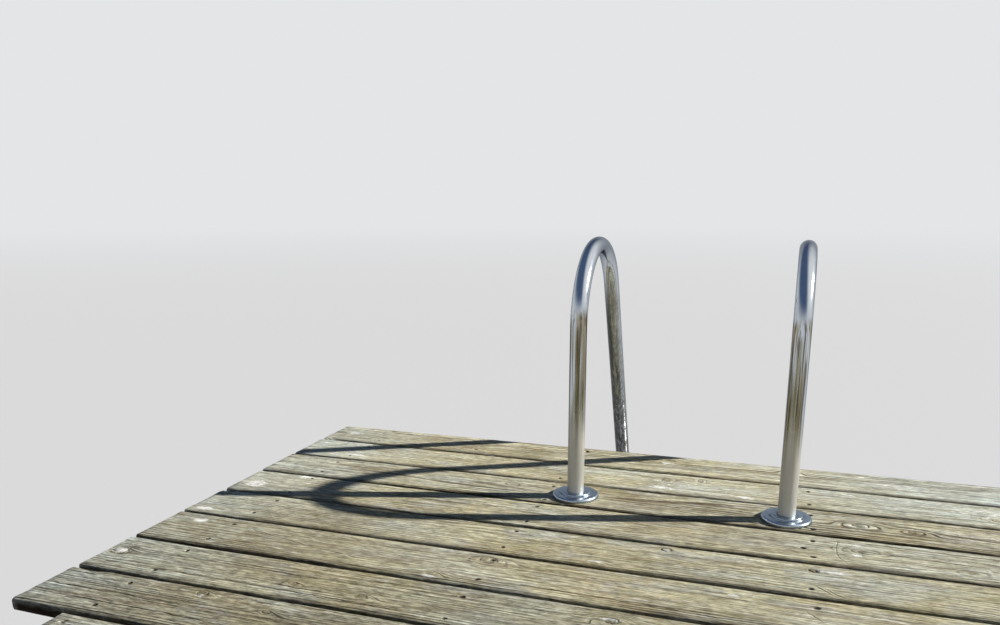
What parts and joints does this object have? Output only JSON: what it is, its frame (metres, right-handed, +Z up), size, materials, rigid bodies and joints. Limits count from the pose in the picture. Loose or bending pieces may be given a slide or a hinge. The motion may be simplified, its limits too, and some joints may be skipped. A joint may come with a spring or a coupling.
{
  "type": "wooden bathing jetty with a stainless ladder",
  "caption": "Timber jetty on round piles with cross boards, a wider head and a bent-tube bathing ladder.",
  "frame": {"origin": "on the lake bed, at the middle of the whole jetty with its ladder", "axes": "+X to the right for someone who walks out, +Y out towards the lake and the ladder, +Z up"},
  "size_m": [2.2, 10.3554, 2.364],
  "materials": {
    "deck_wood": "weathered grey boards, dry",
    "frame_wood": "weathered sawn timber",
    "pile_wood": "weathered round timber, wet below",
    "tube_steel": "polished stainless steel",
    "tread_steel": "satin stainless steel",
    "rubber": "matt black rubber"
  },
  "bodies": {
    "root": {"pile_1_left": "pile_wood", "pile_1_right": "pile_wood", "pile_2_left": "pile_wood", "pile_2_right": "pile_wood", "pile_3_left": "pile_wood", "pile_3_right": "pile_wood", "pile_4_left": "pile_wood", "pile_4_right": "pile_wood", "pile_5_left": "pile_wood", "pile_5_right": "pile_wood", "cap_beams_1": "frame_wood", "cap_beams_2": "frame_wood", "cap_beams_3": "frame_wood", "cap_beams_4": "frame_wood", "cap_beams_5": "frame_wood", "joist_1_head": "frame_wood", "joist_1_shore": "frame_wood", "joist_2_head": "frame_wood", "joist_2_shore": "frame_wood", "joist_3_head": "frame_wood", "joist_3_shore": "frame_wood", "joist_4_head": "frame_wood", "joist_4_shore": "frame_wood", "blocking_1": "frame_wood", "blocking_2": "frame_wood", "blocking_3": "frame_wood", "blocking_4": "frame_wood", "blocking_5": "frame_wood", "deck_boards_head": "deck_wood", "deck_boards_bay_1": "deck_wood", "deck_boards_bay_2": "deck_wood", "deck_boards_bay_3": "deck_wood", "deck_boards_bay_4": "deck_wood", "handrail_left": "tube_steel", "handrail_right": "tube_steel", "flange_left": "tube_steel", "flange_right": "tube_steel", "tread_1": "tread_steel", "tread_2": "tread_steel", "tread_3": "tread_steel", "tread_4": "tread_steel", "tread_5": "tread_steel", "tread_6": "tread_steel", "foot_left": "rubber", "foot_right": "rubber"}
  },
  "joints": []
}
